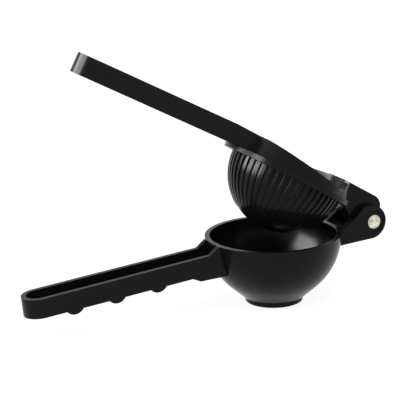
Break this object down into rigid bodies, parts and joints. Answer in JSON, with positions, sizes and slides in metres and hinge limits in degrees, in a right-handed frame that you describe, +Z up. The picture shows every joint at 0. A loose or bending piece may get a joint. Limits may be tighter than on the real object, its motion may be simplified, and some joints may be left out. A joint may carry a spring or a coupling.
{
  "type": "hinged lemon squeezer",
  "caption": "Hinged hand squeezer: a bowl on a lower arm and a ribbed press cup on an upper arm, both with long channel handles, turning on a riveted pin.",
  "frame": {"origin": "centre of the round foot's flat underside, on the bowl's own axis", "axes": "+X from the bowl towards the hinge, +Y along the hinge pin, +Z up out of the bowl"},
  "size_m": [0.2081, 0.0744, 0.1472],
  "materials": {
    "black_body": "glossy moulded black",
    "pin_metal": "satin, slightly warm"
  },
  "bodies": {
    "lower": {"lower_arm": "black_body", "hinge_pin": "pin_metal", "pin_cap": "pin_metal"},
    "upper": {"upper_arm": "black_body"}
  },
  "joints": [
    {"name": "arm_hinge", "type": "hinge", "parent": "lower", "child": "upper", "pos_m": [0.0565, 0, 0.0387], "axis": [0, 1, 0], "range_deg": [-31.5, 68.5]}
  ]
}
